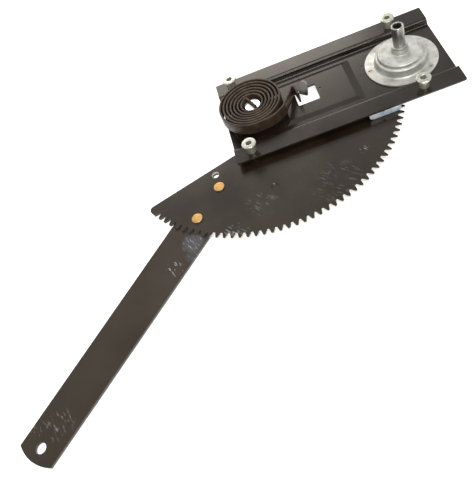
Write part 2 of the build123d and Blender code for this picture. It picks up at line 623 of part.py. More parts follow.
def brake_drum():
    """Hardened ring that the brake spring grips, with a flange on the base floor."""
    top = HUB_TOP - HUB_RIM_DROP - HUB_SHEET - DRUM_GAP
    wall = ring(HUB, DRUM_OUTER_RADIUS, DRUM_INNER_RADIUS, FLOOR_TOP, top)
    flange = ring(HUB, DRUM_FLANGE_RADIUS, PINION_NECK_RADIUS + 2 * FIT, FLOOR_TOP,
                  FLOOR_TOP + DRUM_FLANGE_SHEET)
    return wall + flange


def brake_spring():
    """Round-wire helix inside the drum."""
    rise = BRAKE_WIRE + DRUM_GAP
    bottom = CARRIER_TOP + BRAKE_WIRE / 2 + DRUM_GAP
    path = Pos(*HUB, bottom) * Helix(rise, rise * BRAKE_TURNS, BRAKE_MIDDLE_RADIUS)
    section = Plane(origin=path @ 0, z_dir=path % 0) * Circle(BRAKE_WIRE / 2)
    return sweep(section, path, is_frenet=True)


def pinion_carrier():
    """Disc on the pinion's neck with two lugs that stand up between the brake spring's ends."""
    body = ring(HUB, CARRIER_RADIUS, PINION_SPIGOT_RADIUS + FIT, CARRIER_BOTTOM, CARRIER_TOP)
    for lug in lug_sectors(CARRIER_RADIUS - LUG_RADIAL, CARRIER_RADIUS, LUG_ANGLE, CARRIER_TOP,
                           DRIVER_BOTTOM - RUNNING_GAP, (90, 270)):
        body += lug
    return body


# ---- Pinion ----------------------------------------------------------------------------------------
PINION_TEETH_TOP = SECTOR_TOP + PINION_OVERHANG
PINION_TEETH_BOTTOM = SECTOR_UNDERSIDE - PINION_UNDERHANG
BRACKET_TOP = PINION_TEETH_BOTTOM - RUNNING_GAP
BRACKET_BOTTOM = BRACKET_TOP - BRACKET_SHEET


def pinion_outline():
    """Seven teeth with flanks cut back below the base circle, one tooth facing the sector."""
    base_radius = PINION_PITCH_RADIUS * cos(radians(PRESSURE_ANGLE))
    base_half = degrees(half_tooth_angle(PINION_TEETH, base_radius))
    waist_radius = (base_radius + PINION_ROOT_RADIUS) / 2
    waist_half = base_half - degrees(UNDERCUT / waist_radius)
    step = 360 / PINION_TEETH
    edges = []
    last_root = polar((0, 0), PINION_ROOT_RADIUS, 180 + step - waist_half)
    for index in range(PINION_TEETH):
        axis = 180 - step * index
        rising = flank(PINION_TEETH, base_radius, PINION_TIP_RADIUS, axis, 1)
        falling = flank(PINION_TEETH, base_radius, PINION_TIP_RADIUS, axis, -1)[::-1]
        waist_in = polar((0, 0), waist_radius, axis + waist_half)
        waist_out = polar((0, 0), waist_radius, axis - waist_half)
        root_in = polar((0, 0), PINION_ROOT_RADIUS, axis + waist_half)
        root_out = polar((0, 0), PINION_ROOT_RADIUS, axis - waist_half)
        gap_middle = polar((0, 0), PINION_ROOT_RADIUS, axis + step / 2)
        edges.append(ThreePointArc(last_root, gap_middle, root_in))
        last_root = root_out
        edges.append(Line(root_in, waist_in))
        edges.append(Line(waist_in, rising[0]))
        edges.append(ThreePointArc(*rising))
        edges.append(Line(rising[-1], falling[0]))
        edges.append(ThreePointArc(*falling))
        edges.append(Line(falling[-1], waist_out))
        edges.append(Line(waist_out, root_out))
    return make_face(edges)


def pinion_gear():
    """Pinion with a neck through the floor, a spindle for the carrier and a lower spigot."""
    height = PINION_TEETH_TOP - PINION_TEETH_BOTTOM
    teeth = Pos(*HUB, 0) * plate(pinion_outline(), PINION_TEETH_BOTTOM, height)
    neck = disc(HUB, PINION_NECK_RADIUS, PINION_TEETH_TOP, CARRIER_BOTTOM)
    journal = disc(HUB, PINION_SPIGOT_RADIUS, CARRIER_BOTTOM, CARRIER_TOP)
    spigot = disc(HUB, PINION_SPIGOT_RADIUS, BRACKET_BOTTOM, PINION_TEETH_BOTTOM)
    return teeth + neck + journal + spigot


def pinion_bush():
    """Bush of the pinion's lower spigot."""
    bore = PINION_SPIGOT_RADIUS + FIT
    return ring(HUB, bore + PINION_BUSH_WALL, bore, BRACKET_BOTTOM, BRACKET_TOP)


def pinion_bracket():
    """Strap under the pinion, bent up to two feet riveted under the base floor."""
    nose = Pos(*HUB) * Circle(BRACKET_NOSE)
    run = BRACKET_FOOT_REACH - BRACKET_FOOT_LENGTH + BRACKET_SHEET
    strip = Pos(HUB_X + run / 2, 0) * Rectangle(run, BRACKET_WIDTH)
    strap = plate(nose + strip, BRACKET_BOTTOM, BRACKET_SHEET)
    heel = HUB_X + run - BRACKET_SHEET
    riser = block((heel, -BRACKET_WIDTH / 2, BRACKET_BOTTOM),
                  (heel + BRACKET_SHEET, BRACKET_WIDTH / 2, FLOOR_UNDERSIDE))
    foot = block((heel, -BRACKET_FOOT_WIDTH / 2, FLOOR_UNDERSIDE - BRACKET_SHEET),
                 (HUB_X + BRACKET_FOOT_REACH, BRACKET_FOOT_WIDTH / 2, FLOOR_UNDERSIDE))
    foot = fillet(foot.edges().filter_by(Axis.Z), BASE_BEND)
    body = strap + riser + foot
    bush_outer = PINION_SPIGOT_RADIUS + FIT + PINION_BUSH_WALL
    body -= disc(HUB, bush_outer, BRACKET_BOTTOM, BRACKET_TOP)
    for spot in hub_rivet_spots():
        body -= disc(spot, HUB_RIVET_RADIUS + FIT, FLOOR_UNDERSIDE - BRACKET_SHEET, FLOOR_UNDERSIDE)
    return body


# ---- Pivot -----------------------------------------------------------------------------------------
BUSH_TOP = FLOOR_TOP + BUSH_FLANGE_HEIGHT
SLOT_WIDTH = SPRING_STRIP + 2 * SLOT_CLEARANCE


def pivot_post():
    """Slotted post: collar over the bush, journal in the bush, tail through sector and arm."""
    post = disc(PIVOT, POST_RADIUS, SPRING_SEAT, SPRING_SEAT + POST_HEIGHT)
    post = chamfer(post.edges().group_by(Axis.Z)[-1], SPINDLE_CHAMFER)
    slot = block((-POST_RADIUS, -SLOT_WIDTH / 2, SPRING_SEAT),
                 (POST_RADIUS, SLOT_WIDTH / 2, SPRING_SEAT + POST_HEIGHT))
    post -= Pos(*PIVOT, 0) * Rot(0, 0, SLOT_DIRECTION) * slot
    collar = disc(PIVOT, POST_COLLAR_RADIUS, BUSH_TOP + RUNNING_GAP, SPRING_SEAT)
    journal = disc(PIVOT, POST_NECK_RADIUS, SECTOR_TOP, BUSH_TOP + RUNNING_GAP)
    roll_top = ARM_UNDERSIDE - STAKING_WASHER_SHEET
    tail = disc(PIVOT, POST_TAIL_RADIUS, roll_top, SECTOR_TOP)
    roll = disc(PIVOT, POST_ROLL_RADIUS, roll_top - POST_ROLL_HEIGHT, roll_top)
    roll = fillet(roll.edges().group_by(Axis.Z)[0], RIVET_DOME)
    return post + collar + journal + tail + roll


def pivot_bush():
    """Flanged bearing bush of the post, in the base floor."""
    bore = POST_NECK_RADIUS + FIT
    sleeve = ring(PIVOT, bore + BUSH_WALL, bore, FLOOR_UNDERSIDE, BUSH_TOP)
    return sleeve + ring(PIVOT, BUSH_FLANGE_RADIUS, bore, FLOOR_TOP, BUSH_TOP)


def pivot_washer():
    """Thrust washer that lies on the sector under the base floor."""
    top = FLOOR_UNDERSIDE - RUNNING_GAP
    return ring(PIVOT, WASHER_RADIUS, POST_NECK_RADIUS + FIT, SECTOR_TOP, top)


def staking_washer():
    """Washer under the arm, on which the post's tail is rolled over."""
    return ring(PIVOT, STAKING_WASHER_RADIUS, POST_TAIL_RADIUS + FIT,
                ARM_UNDERSIDE - STAKING_WASHER_SHEET, ARM_UNDERSIDE)


# ---- Counter spring --------------------------------------------------------------------------------
def coil_point(angle):
    """A place on the coil's centreline at a winding angle in degrees; the outer turns sit aside."""
    share = (angle - COIL_FROM) / (COIL_TO - COIL_FROM)
    radius = COIL_INNER_RADIUS + (COIL_OUTER_RADIUS - COIL_INNER_RADIUS) * share
    shift_y = COIL_SHIFT_Y[0] + (COIL_SHIFT_Y[1] - COIL_SHIFT_Y[0]) * share
    return polar(from_pivot(COIL_SHIFT_X, shift_y), radius, angle)


def counter_spring():
    """Flat spiral: tang in the post's slot, the coil, and a free run with a hairpin by the tab."""
    steps = round((COIL_TO - COIL_FROM) / COIL_STEP)
    angles = [COIL_FROM + (COIL_TO - COIL_FROM) * index / steps for index in range(steps + 1)]
    coil = Spline(*[coil_point(angle) for angle in angles])

    # The tang lies along the slot and meets the line that the coil starts on.
    pivot = Vector(*PIVOT)
    slot_line = Vector(*polar((0, 0), 1, SLOT_DIRECTION))
    reach = (coil @ 0 - pivot).cross(coil % 0).Z / slot_line.cross(coil % 0).Z
    tang_end = pivot - slot_line * (POST_RADIUS - SPRING_STRIP / 2)
    tang = FilletPolyline(tang_end, pivot + slot_line * reach, coil @ 0, radius=TANG_BEND)

    # The free run goes round two knees to a hairpin that bears on the tab's edge.
    bends = [from_pivot(*spot) for spot in (*SPRING_KNEES, HAIRPIN_SPOT, HAIRPIN_END)]
    run = FilletPolyline(coil @ 1, *bends, radius=[*KNEE_RADII, HAIRPIN_BEND])
    strip = trace([*tang.edges(), *coil.edges(), *run.edges()], SPRING_STRIP)
    return plate(strip, SPRING_BOTTOM, SPRING_WIDTH)


NODES = {
    "base_plate": base_plate,
    "spacer_nuts": spacer_nuts,
    "hub_housing": hub_housing,
    "housing_rivets": housing_rivets,
    "brake_drum": brake_drum,
    "pivot_bush": pivot_bush,
    "sector_guide": sector_guide,
    "pinion_bracket": pinion_bracket,
    "spindle_bush": spindle_bush,
    "pinion_bush": pinion_bush,
    "counter_spring": counter_spring,
    "sector_gear": sector_gear,
    "lift_arm": lift_arm,
    "arm_rivets": arm_rivets,
    "pivot_post": pivot_post,
    "pivot_washer": pivot_washer,
    "staking_washer": staking_washer,
    "crank_spindle": crank_spindle,
    "retaining_ring": retaining_ring,
    "spindle_driver": spindle_driver,
    "thrust_washer": thrust_washer,
    "brake_spring": brake_spring,
    "pinion_carrier": pinion_carrier,
    "pinion_gear": pinion_gear,
}

os.makedirs("parts", exist_ok=True)
for name, make in NODES.items():
    solid = make()
    solid.label = name
    export_step(solid, f"parts/{name}.step")
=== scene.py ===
import bpy
import math
import numpy as np
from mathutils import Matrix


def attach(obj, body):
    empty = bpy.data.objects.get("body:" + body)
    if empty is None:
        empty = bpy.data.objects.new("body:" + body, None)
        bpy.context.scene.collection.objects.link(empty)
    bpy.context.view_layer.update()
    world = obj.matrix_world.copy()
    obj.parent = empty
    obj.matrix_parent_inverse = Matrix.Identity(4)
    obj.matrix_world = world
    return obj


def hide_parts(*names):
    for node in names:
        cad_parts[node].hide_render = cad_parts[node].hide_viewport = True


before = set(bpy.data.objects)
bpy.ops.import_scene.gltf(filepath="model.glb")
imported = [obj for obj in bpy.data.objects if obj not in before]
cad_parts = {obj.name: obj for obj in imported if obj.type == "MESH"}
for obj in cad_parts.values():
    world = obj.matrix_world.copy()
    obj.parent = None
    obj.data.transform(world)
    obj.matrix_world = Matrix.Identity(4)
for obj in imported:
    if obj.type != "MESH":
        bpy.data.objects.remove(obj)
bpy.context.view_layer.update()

# ---- Camera ----------------------------------------------------------------------------------
# A near, high three-quarter view over the teeth, turned so that the arm falls to the lower left.
CAMERA_SPOT = np.array([-0.05713, -0.49692, 0.43854])
CAMERA_AZIMUTH = math.radians(11.389)
CAMERA_HEIGHT_ANGLE = math.radians(51.893)
CAMERA_ROLL = math.radians(-28.667)
CAMERA_LENS = 47.39
SENSOR_WIDTH = 36.0

backward = np.array([math.sin(CAMERA_AZIMUTH) * math.cos(CAMERA_HEIGHT_ANGLE),
                     -math.cos(CAMERA_AZIMUTH) * math.cos(CAMERA_HEIGHT_ANGLE),
                     math.sin(CAMERA_HEIGHT_ANGLE)])
level = np.array([math.cos(CAMERA_AZIMUTH), math.sin(CAMERA_AZIMUTH), 0.0])
upward = np.cross(backward, level)
across = math.cos(CAMERA_ROLL) * level + math.sin(CAMERA_ROLL) * upward
upright = -math.sin(CAMERA_ROLL) * level + math.cos(CAMERA_ROLL) * upward
placing = np.eye(4)
placing[:3, :4] = np.stack([across, upright, backward, CAMERA_SPOT], 1)
camera_data = bpy.data.cameras.new("studio_camera")
camera_data.sensor_fit = "HORIZONTAL"
camera_data.sensor_width = SENSOR_WIDTH
camera_data.lens = CAMERA_LENS
camera_data.clip_start = 0.01
camera = bpy.data.objects.new("studio_camera", camera_data)
camera.matrix_world = [list(row) for row in placing.T]
bpy.context.scene.collection.objects.link(camera)
bpy.context.scene.camera = camera
bpy.context.scene.view_settings.view_transform = "Standard"

# ---- Studio ----------------------------------------------------------------------------------
# A white table and a white surround.  A wide soft box stands behind the table, one hangs above it,
# and a shallow one stands in front.


def add_node(tree, kind, settings=(), **inputs):
    """One shader node with its settings and input values; a socket given as a value is linked."""
    made = tree.nodes.new(kind)
    for key, value in dict(settings).items():
        setattr(made, key, value)
    for key, value in inputs.items():
        socket = made.inputs[int(key[1:])] if key[0] == "i" and key[1:].isdigit() else made.inputs[key]
        if isinstance(value, bpy.types.NodeSocket):
            tree.links.new(value, socket)
        else:
            socket.default_value = value
    return made


def seen_share(tree):
    """Socket that is 1 for camera, glossy and transmission rays and 0 for the others."""
    rays = add_node(tree, "ShaderNodeLightPath")
    share = add_node(tree, "ShaderNodeMath", {"operation": "MAXIMUM"},
                     i0=rays.outputs["Is Camera Ray"], i1=rays.outputs["Is Glossy Ray"])
    share = add_node(tree, "ShaderNodeMath", {"operation": "MAXIMUM"}, i0=share.outputs[0],
                     i1=rays.outputs["Is Transmission Ray"])
    return share.outputs[0]


SURROUND_LIGHT = 0.35
world = bpy.data.worlds.new("white_surround")
world.use_nodes = True
bpy.context.scene.world = world
sky = world.node_tree
sky.nodes.clear()
strength = add_node(sky, "ShaderNodeMapRange", Value=seen_share(sky), i3=SURROUND_LIGHT, i4=1.0)
backdrop = add_node(sky, "ShaderNodeBackground", Color=(1.0, 1.0, 1.0, 1.0),
                    Strength=strength.outputs[0])
sky_out = add_node(sky, "ShaderNodeOutputWorld")
sky.links.new(backdrop.outputs[0], sky_out.inputs[0])


def soft_box(name, spot, target, width, height, watts, tone=(1.0, 1.0, 1.0)):
    """Rectangular lamp at a spot, turned so that it faces the target."""
    data = bpy.data.lights.new(name, "AREA")
    data.shape = "RECTANGLE"
    data.size = width
    data.size_y = height
    data.energy = watts
    data.color = tone
    lamp = bpy.data.objects.new(name, data)
    facing = np.array(spot, float) - np.array(target, float)
    facing /= np.linalg.norm(facing)
    side = np.cross([0.0, 0.0, 1.0], facing)
    side /= np.linalg.norm(side)
    turned = np.eye(4)
    turned[:3, :4] = np.stack([side, np.cross(facing, side), facing, spot], 1)
    lamp.matrix_world = [list(row) for row in turned.T]
    bpy.context.scene.collection.objects.link(lamp)


def studio_sheet(name, corners, material):
    """Flat four-cornered sheet of the studio, which isn't part of the object."""
    data = bpy.data.meshes.new(name)
    data.from_pydata(corners, [], [(0, 1, 2, 3)])
    data.materials.append(material)
    sheet = bpy.data.objects.new(name, data)
    bpy.context.scene.collection.objects.link(sheet)
    return sheet


soft_box("rear_soft_box", (-0.14, 1.05, 0.64), (-0.03, 0.0, 0.0), 0.85, 0.38, 5.1, (1.0, 0.95, 0.89))
soft_box("top_soft_box", (0.05, -0.27, 1.4), (-0.05, -0.05, 0.0), 0.45, 0.45, 6.0)
soft_box("front_soft_box", (0.1, -0.93, 0.85), (0.0, -0.05, 0.0), 1.0, 0.22, 9.0)

# A low black flag in front, hidden from the camera, keeps the steep faces dark.
FLAG_LEFT, FLAG_RIGHT, FLAG_Y, FLAG_TOP = -1.3, 1.1, -0.95, 0.52
black_cloth = bpy.data.materials.new("black_cloth")
black_cloth.use_nodes = True
cloth_bsdf = black_cloth.node_tree.nodes["Principled BSDF"]
cloth_bsdf.inputs["Base Color"].default_value = (0.01, 0.01, 0.01, 1.0)
cloth_bsdf.inputs["Roughness"].default_value = 1.0
flag = studio_sheet("black_flag", [(FLAG_LEFT, FLAG_Y, 0.0), (FLAG_RIGHT, FLAG_Y, 0.0),
                                   (FLAG_RIGHT, FLAG_Y, FLAG_TOP), (FLAG_LEFT, FLAG_Y, FLAG_TOP)],
                    black_cloth)
flag.visible_camera = False

TABLE_TOP = -0.0296
TABLE_REACH = 3
TABLE_GLOW = 0.75
table_paper = bpy.data.materials.new("table_paper")
table_paper.use_nodes = True
paper = table_paper.node_tree
sheet_bsdf = paper.nodes["Principled BSDF"]
sheet_bsdf.inputs["Base Color"].default_value = (0.86, 0.86, 0.85, 1.0)
sheet_bsdf.inputs["Roughness"].default_value = 0.9
sheet_bsdf.inputs["Specular IOR Level"].default_value = 0.1
sheet_bsdf.inputs["Emission Color"].default_value = (1.0, 1.0, 1.0, 1.0)
glow = add_node(paper, "ShaderNodeMath", {"operation": "MULTIPLY"}, i0=seen_share(paper),
                i1=TABLE_GLOW)
paper.links.new(glow.outputs[0], sheet_bsdf.inputs["Emission Strength"])
studio_sheet("table", [(-TABLE_REACH, -TABLE_REACH, TABLE_TOP), (TABLE_REACH, -TABLE_REACH, TABLE_TOP),
                       (TABLE_REACH, TABLE_REACH, TABLE_TOP), (-TABLE_REACH, TABLE_REACH, TABLE_TOP)],
             table_paper)

# ---- Base, bracket and sector ----------------------------------------------------------------
# Pressed and blanked steel sheets dipped in glossy black enamel.  The film has a faint orange peel,
# dust and thin rub marks from handling.  The walls of the sector's teeth show bare steel, but the left
# ones keep the dark film as painted shade, and the base's tab is painted pale as a painted highlight.
MM = 0.001


def start_group(name, inputs, outputs):
    """Empty shader group of plain values, with inputs (name, value) and named outputs."""
    group = bpy.data.node_groups.new(name, "ShaderNodeTree")
    for label, value in inputs:
        socket = group.interface.new_socket(label, in_out="INPUT", socket_type="NodeSocketFloat")
        socket.default_value = value
    for label in outputs:
        group.interface.new_socket(label, in_out="OUTPUT", socket_type="NodeSocketFloat")
    entry = group.nodes.new("NodeGroupInput")
    leaving = group.nodes.new("NodeGroupOutput")
    return group, entry, leaving


def use_group(tree, group, **inputs):
    """Places a shader group in a material with its own values."""
    made = tree.nodes.new("ShaderNodeGroup")
    made.node_tree = group
    for key, value in inputs.items():
        socket = made.inputs[key.replace("_", " ")]
        if isinstance(value, bpy.types.NodeSocket):
            tree.links.new(value, socket)
        else:
            socket.default_value = value
    return made


# Enamel film: two noises, one for the orange peel's height and one for cloudy tone.
film_group, film_in, film_out = start_group(
    "enamel_film", [("Peel Scale", 900.0), ("Cloud Scale", 14.0)], ["Peel", "Cloud"])
film_place = add_node(film_group, "ShaderNodeTexCoord")
peel = add_node(film_group, "ShaderNodeTexNoise", Vector=film_place.outputs["Object"],
                Scale=film_in.outputs["Peel Scale"], Detail=2.0)
cloud = add_node(film_group, "ShaderNodeTexNoise", Vector=film_place.outputs["Object"],
                 Scale=film_in.outputs["Cloud Scale"], Detail=5.0, Roughness=0.55)
film_group.links.new(peel.outputs["Fac"], film_out.inputs["Peel"])
film_group.links.new(cloud.outputs["Fac"], film_out.inputs["Cloud"])

# Rubbed marks: stretched noise cut to thin streaks, and small pale specks of dust.
marks_group, marks_in, marks_out = start_group(
    "rubbed_marks", [("Scale", 60.0), ("Stretch", 12.0), ("Turn", 0.6), ("Threshold", 0.66),
                     ("Speck Scale", 700.0)], ["Streaks", "Specks"])
marks_place = add_node(marks_group, "ShaderNodeTexCoord")
turned_marks = add_node(marks_group, "ShaderNodeVectorRotate", {"rotation_type": "Z_AXIS"},
                        Vector=marks_place.outputs["Object"], Angle=marks_in.outputs["Turn"])
split_marks = add_node(marks_group, "ShaderNodeSeparateXYZ", Vector=turned_marks.outputs[0])
drawn_out = add_node(marks_group, "ShaderNodeMath", {"operation": "MULTIPLY"},
                     i0=split_marks.outputs["Y"], i1=marks_in.outputs["Stretch"])
marks_vector = add_node(marks_group, "ShaderNodeCombineXYZ", X=split_marks.outputs["X"],
                        Y=drawn_out.outputs[0], Z=split_marks.outputs["Z"])
streak_noise = add_node(marks_group, "ShaderNodeTexNoise", Vector=marks_vector.outputs[0],
                        Scale=marks_in.outputs["Scale"], Detail=4.0, Roughness=0.6)
streak_top = add_node(marks_group, "ShaderNodeMath", {"operation": "ADD"},
                      i0=marks_in.outputs["Threshold"], i1=0.08)
streaks = add_node(marks_group, "ShaderNodeMapRange", Value=streak_noise.outputs["Fac"],
                   i1=marks_in.outputs["Threshold"], i2=streak_top.outputs[0])
speck_noise = add_node(marks_group, "ShaderNodeTexVoronoi", {"feature": "F1"},
                       Vector=marks_place.outputs["Object"], Scale=marks_in.outputs["Speck Scale"])
speck_size = add_node(marks_group, "ShaderNodeTexNoise", Vector=marks_place.outputs["Object"],
                      Scale=40.0, Detail=2.0)
speck_limit = add_node(marks_group, "ShaderNodeMapRange", Value=speck_size.outputs["Fac"],
                       i1=0.45, i2=0.75, i3=0.0, i4=0.16)
specks = add_node(marks_group, "ShaderNodeMath", {"operation": "LESS_THAN"},
                  i0=speck_noise.outputs["Distance"], i1=speck_limit.outputs[0])
marks_group.links.new(streaks.outputs[0], marks_out.inputs["Streaks"])
marks_group.links.new(specks.outputs[0], marks_out.inputs["Specks"])


def mix_colour(tree, share, first, second):
    """Mix of two colours by a share from 0 to 1."""
    made = add_node(tree, "ShaderNodeMix", {"data_type": "RGBA"}, i0=share, i6=first, i7=second)
    return made.outputs[2]


DUST_TONE = (0.16, 0.14, 0.12, 1.0)
BARE_STEEL_TONE = (0.62, 0.60, 0.55, 1.0)
WARM_SHEEN = (1.0, 0.93, 0.84, 1.0)
EDGE_ROUNDING = 0.0005


def enamel(name, dark, dusty, turn, gloss=0.22, bare=0.0, painted_shade_left_of=None, ior=1.42, wear_and_painted_light=()):
    """Black enamel; dark is the clean film and dusty the film where dust and handling dull it.

    With bare at 1 the sheared walls of the sheet show bare steel through the film.  Where
    painted_shade_left_of is given, in mm, the walls left of it keep most of the dark film as painted
    shade, and only those right of it show the steel.  Each place in wear_and_painted_light is a spot
    and a radius in mm, a share, a tone and how far streaks break it up: the film is made paler there,
    by a scuff at some places and by painted light at others, as said where the places are given."""
    made = bpy.data.materials.new(name)
    made.use_nodes = True
    tree = made.node_tree
    bsdf = tree.nodes["Principled BSDF"]
    film = use_group(tree, film_group, Peel_Scale=900.0, Cloud_Scale=14.0)
    marks = use_group(tree, marks_group, Scale=70.0, Stretch=14.0, Turn=turn, Threshold=0.67)
    haze = add_node(tree, "ShaderNodeMapRange", Value=film.outputs["Cloud"], i1=0.35, i2=0.75)
    faint = add_node(tree, "ShaderNodeMath", {"operation": "MULTIPLY"}, i0=marks.outputs["Streaks"],
                     i1=0.25)
    dulled = add_node(tree, "ShaderNodeMath", {"operation": "MAXIMUM"}, i0=haze.outputs[0],
                      i1=faint.outputs[0])
    speckled = add_node(tree, "ShaderNodeMath", {"operation": "MULTIPLY"},
                        i0=marks.outputs["Specks"], i1=0.6)
    base = mix_colour(tree, dulled.outputs[0], dark, dusty)
    base = mix_colour(tree, speckled.outputs[0], base, DUST_TONE)
    rough = add_node(tree, "ShaderNodeMapRange", Value=dulled.outputs[0], i3=gloss, i4=gloss + 0.12)
    place = add_node(tree, "ShaderNodeTexCoord")
    patch_streaks = use_group(tree, marks_group, Scale=130.0, Stretch=3.5, Turn=turn + 0.4, Threshold=0.56)
    # Each place pales the film; some are scuffs and some are painted light, as said at each call.
    for spot, reach, share, tone, streaky in wear_and_painted_light:
        away = add_node(tree, "ShaderNodeVectorMath", {"operation": "DISTANCE"},
                        i0=place.outputs["Object"], i1=[value * MM for value in spot])
        near = add_node(tree, "ShaderNodeMapRange", Value=away.outputs["Value"], i1=reach * MM,
                        i2=reach * MM * 0.6, i3=0.0, i4=share)
        patch_breakup = add_node(tree, "ShaderNodeMapRange", Value=patch_streaks.outputs["Streaks"],
                          i3=1.0 - streaky, i4=1.0)
        near = add_node(tree, "ShaderNodeMath", {"operation": "MULTIPLY"}, i0=near.outputs[0],
                        i1=patch_breakup.outputs[0])
        base = mix_colour(tree, near.outputs[0], base, tone)
    facing = add_node(tree, "ShaderNodeNewGeometry")
    split = add_node(tree, "ShaderNodeSeparateXYZ", Vector=facing.outputs["True Normal"])
    level_share = add_node(tree, "ShaderNodeMath", {"operation": "ABSOLUTE"}, i0=split.outputs["Z"])
    wall = add_node(tree, "ShaderNodeMapRange", Value=level_share.outputs[0], i1=0.5, i2=0.3, i3=0.0,
                    i4=bare)
    # Painted shade: walls left of the given x keep most of the dark film, and only walls right of it
    # show bare steel.
    if painted_shade_left_of is not None:
        where = add_node(tree, "ShaderNodeSeparateXYZ", Vector=place.outputs["Object"])
        lit_side_share = add_node(tree, "ShaderNodeMapRange", Value=where.outputs["X"],
                           i1=(painted_shade_left_of - 6.0) * MM, i2=painted_shade_left_of * MM, i3=0.12, i4=1.0)
        wall = add_node(tree, "ShaderNodeMath", {"operation": "MULTIPLY"}, i0=wall.outputs[0],
                        i1=lit_side_share.outputs[0])
    base = mix_colour(tree, wall.outputs[0], base, BARE_STEEL_TONE)
    rough = add_node(tree, "ShaderNodeMix", {"data_type": "FLOAT"}, i0=wall.outputs[0],
                     i2=rough.outputs[0], i3=0.38)
    rounded = add_node(tree, "ShaderNodeBevel", {"samples": 6}, Radius=EDGE_ROUNDING)
    bump = add_node(tree, "ShaderNodeBump", Strength=0.05, Distance=0.0004,
                    Height=film.outputs["Peel"], Normal=rounded.outputs[0])
    tree.links.new(base, bsdf.inputs["Base Color"])
    tree.links.new(rough.outputs[0], bsdf.inputs["Roughness"])
    tree.links.new(wall.outputs[0], bsdf.inputs["Metallic"])
    tree.links.new(bump.outputs[0], bsdf.inputs["Normal"])
    bsdf.inputs["IOR"].default_value = ior
    bsdf.inputs["Specular Tint"].default_value = WARM_SHEEN
    return made


def dress(node, material):
    """Gives a CAD node its finish."""
    node.data.materials.clear()
    node.data.materials.append(material)


# The one pale place on the base is painted light: it makes the floor's tab pale grey, a painted
# highlight of its lit face.
dress(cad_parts["base_plate"],
      enamel("base_enamel", (0.007, 0.005, 0.003, 1.0), (0.024, 0.018, 0.013, 1.0), 0.1, 0.17,
             wear_and_painted_light=[((-20.8, 6.5, -6.0), 11.0, 1.0, (0.34, 0.32, 0.29, 1.0), 0.1)]))
dress(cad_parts["pinion_bracket"],
      enamel("bracket_enamel", (0.016, 0.014, 0.011, 1.0), (0.030, 0.027, 0.023, 1.0), 1.4))
# The sector's tooth walls left of x = -150 mm keep the dark film as painted shade, where they face away
# from the light; right of it they show bare steel.
dress(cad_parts["sector_gear"],
      enamel("sector_enamel", (0.008, 0.005, 0.002, 1.0), (0.026, 0.018, 0.011, 1.0), 0.5, 0.21, 1.0,
             painted_shade_left_of=-150.0, ior=1.46,
             wear_and_painted_light=[((13.5, -94.0, -20.8), 6.0, 0.9, (0.45, 0.45, 0.44, 1.0), 1.0),
                   ((-128.9, -139.8, -20.8), 16.0, 0.7, (0.30, 0.32, 0.36, 1.0), 1.0),
                   ((-95.6, -113.1, -20.8), 18.0, 0.5, (0.16, 0.15, 0.14, 1.0), 1.0),
                   ((-20.0, -120.0, -20.8), 30.0, 0.4, (0.14, 0.13, 0.12, 1.0), 1.0)]))

# ---- Spacer nuts -----------------------------------------------------------------------------
# Four turned steel nuts with a broad head, zinc plated, and riveted into the side flanges by a
# rolled spigot.
def rounded_path(points, radii, steps=6):
    """Polyline with an arc of the radius given at each inner corner.

    An arc's centre lies on the corner's bisector, radius over the sine of half the inner angle
    away, and its ends are where its circle touches the two runs."""
    points = np.array(points, float)
    line = [points[0]]
    for before, corner, after, radius in zip(points, points[1:], points[2:], radii):
        back = (before - corner) / np.linalg.norm(before - corner)
        ahead = (after - corner) / np.linalg.norm(after - corner)
        half = math.acos(float(np.clip(back @ ahead, -1.0, 1.0))) / 2
        reach = radius / math.tan(half)
        centre = corner + (back + ahead) / np.linalg.norm(back + ahead) * radius / math.sin(half)
        first = corner + back * reach - centre
        last = corner + ahead * reach - centre
        turn = math.pi - 2 * half
        share = np.linspace(0.0, 1.0, steps + 1)[:, None]
        line.extend(centre + (np.sin((1 - share) * turn) * first + np.sin(share * turn) * last)
                    / math.sin(turn))
    line.append(points[-1])
    return np.array(line)


def grid_faces(rows, count, closed=True, flipped=False):
    """Four-cornered faces of a grid of rows of count points; each row joins its own start, and the
    last row joins the first if closed.  Flipped turns the faces over."""
    i = np.arange(rows if closed else rows - 1)[:, None]
    j = np.arange(count)[None, :]
    after = (i + 1) % rows
    following = (j + 1) % count
    corners = [i * count + j, after * count + j, after * count + following, i * count + following]
    if flipped:
        corners = [corners[0], corners[3], corners[2], corners[1]]
    return np.stack(corners, -1).reshape(-1, 4)


def turned_shape(outline, spot, segments=72):
    """Closed outline of (radius, height) in mm turned about an upright axis.

    x = spot x + r cos t, y = spot y + r sin t, z = h, with the outline run anticlockwise so that
    the faces point outwards."""
    outline = np.array(outline, float) * MM
    angle = np.linspace(0.0, 2 * math.pi, segments, endpoint=False)[:, None]
    x = spot[0] * MM + outline[None, :, 0] * np.cos(angle)
    y = spot[1] * MM + outline[None, :, 0] * np.sin(angle)
    z = np.broadcast_to(outline[None, :, 1], x.shape)
    return np.stack([x, y, z], -1).reshape(-1, 3), grid_faces(segments, len(outline))


SHARP_FROM = math.radians(35)


def mesh_piece(name, shapes, material):
    """One object from several (points, faces) arrays, smooth except at sharp edges."""
    points = []
    faces = []
    start = 0
    for shape_points, shape_faces in shapes:
        points.append(shape_points)
        faces.extend((np.array(face) + start).tolist() for face in shape_faces)
        start += len(shape_points)
    data = bpy.data.meshes.new(name)
    data.from_pydata(np.concatenate(points).tolist(), [], faces)
    data.validate()
    data.update()
    data.shade_smooth()
    data.set_sharp_from_angle(angle=SHARP_FROM)
    data.materials.append(material)
    piece = bpy.data.objects.new(name, data)
    bpy.context.scene.collection.objects.link(piece)
    return piece
